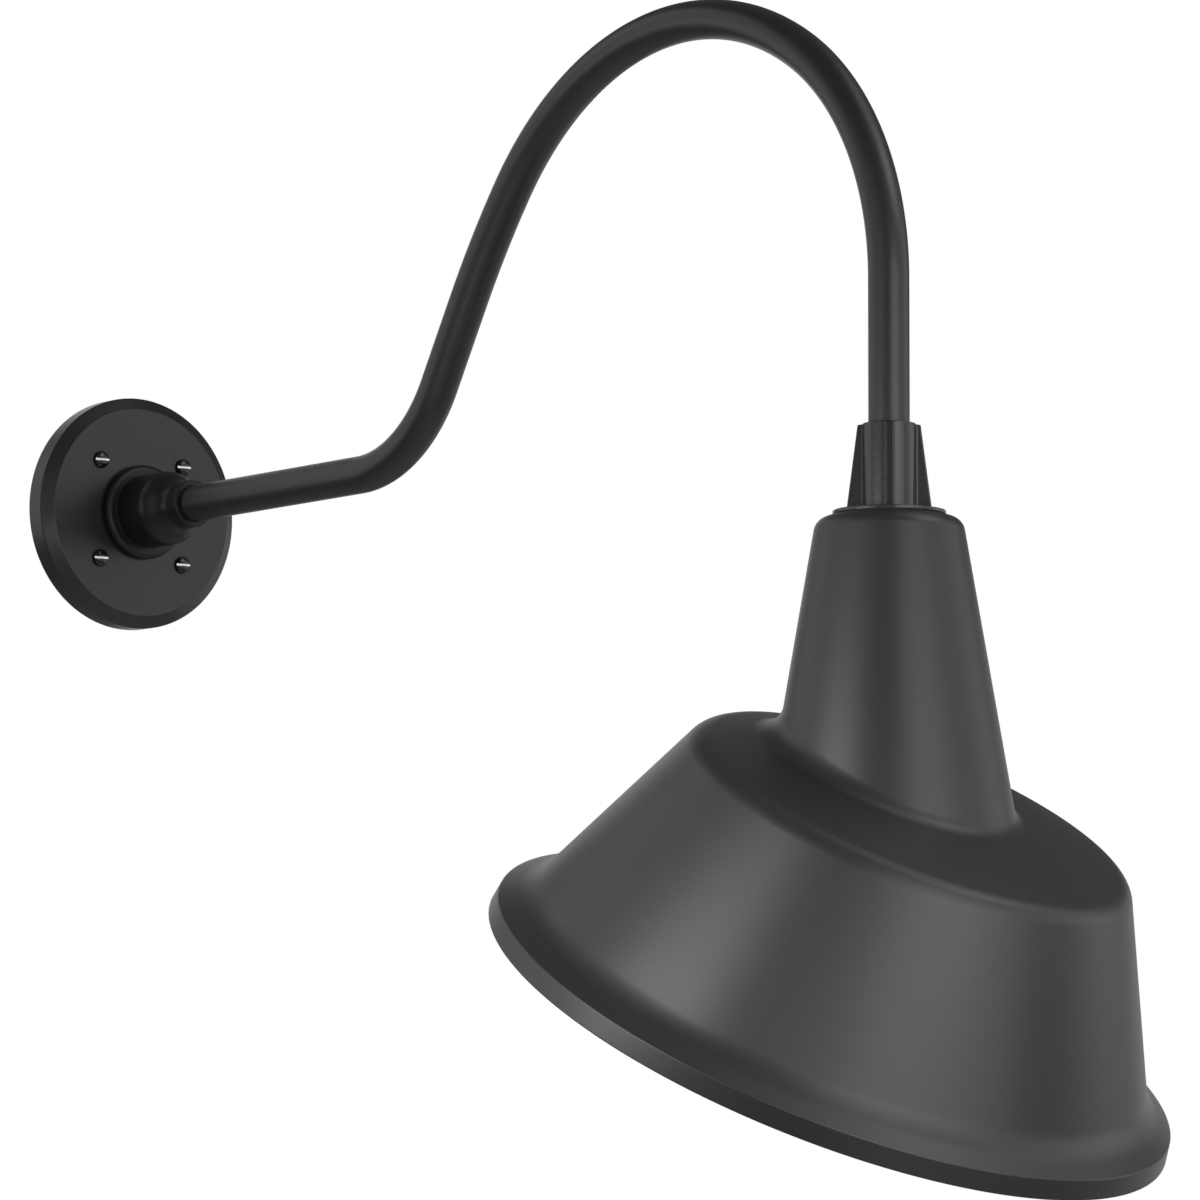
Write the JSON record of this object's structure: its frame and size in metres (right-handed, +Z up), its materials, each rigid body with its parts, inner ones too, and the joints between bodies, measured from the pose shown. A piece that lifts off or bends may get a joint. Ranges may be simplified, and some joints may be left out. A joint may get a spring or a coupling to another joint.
{
  "type": "barn light",
  "caption": "Wall-mounted gooseneck barn light: round wall plate, bent pipe arm, ribbed collar and a tilted bell shade that swivels on the pipe's end.",
  "frame": {"origin": "centre of the wall plate's back face, on the wall plane and on the arm's axis", "axes": "+X out of the wall along the arm, +Z up, +Y to the left when facing the wall"},
  "size_m": [0.8195, 0.3699, 0.6454],
  "materials": {
    "black_coat": "satin black powder coat on cast aluminium",
    "black_coat_steel": "satin black powder coat on steel pipe",
    "shade_black": "spun aluminium, satin black powder coat outside, white reflector enamel inside",
    "black_screw": "gloss black",
    "green_screw": "green passivated",
    "zinc_steel": "zinc plated",
    "brass": "bright",
    "nickel": "nickel plated",
    "porcelain": "glazed white porcelain",
    "black_glass": "opaque black glass",
    "opal_glass": "opal white glass",
    "black_foam": "closed-cell foam",
    "black_rubber": "matt",
    "white_plastic": "matt",
    "black_insulation": "satin",
    "white_insulation": "satin",
    "green_insulation": "satin"
  },
  "bodies": {
    "arm_assembly": {"wall_plate": "black_coat", "wall_gasket": "black_foam", "mounting_bracket": "zinc_steel", "plate_screws": "black_screw", "ground_screw": "green_screw", "arm_hub": "black_coat", "hub_washer": "zinc_steel", "hub_lock_nut": "zinc_steel", "pipe_lock_ring": "black_coat", "arm_pipe": "black_coat_steel", "outlet_bushing": "white_plastic", "arm_lead_black": "black_insulation", "arm_lead_white": "white_insulation", "arm_lead_green": "green_insulation"},
    "head": {"ribbed_collar": "black_coat", "collar_set_screws": "black_screw", "collar_gasket": "black_rubber", "shade_neck": "shade_black", "shade_reflector": "shade_black", "shade_washer": "zinc_steel", "shade_lock_nut": "zinc_steel", "socket_bracket": "zinc_steel", "bracket_ground_screw": "green_screw", "lampholder_body": "porcelain", "lampholder_shell": "brass", "lampholder_contact": "brass", "lampholder_screws": "zinc_steel", "terminal_screws": "brass", "lamp_cap": "nickel", "lamp_insulator": "black_glass", "lamp_button": "nickel", "lamp_globe": "opal_glass", "head_lead_black": "black_insulation", "head_lead_white": "white_insulation", "head_lead_green": "green_insulation"}
  },
  "joints": [
    {"name": "head_swivel", "type": "hinge", "parent": "arm_assembly", "child": "head", "pos_m": [0.69795, 0, -0.0207], "axis": [0, 0, 1], "range_deg": [-170, 170]}
  ]
}
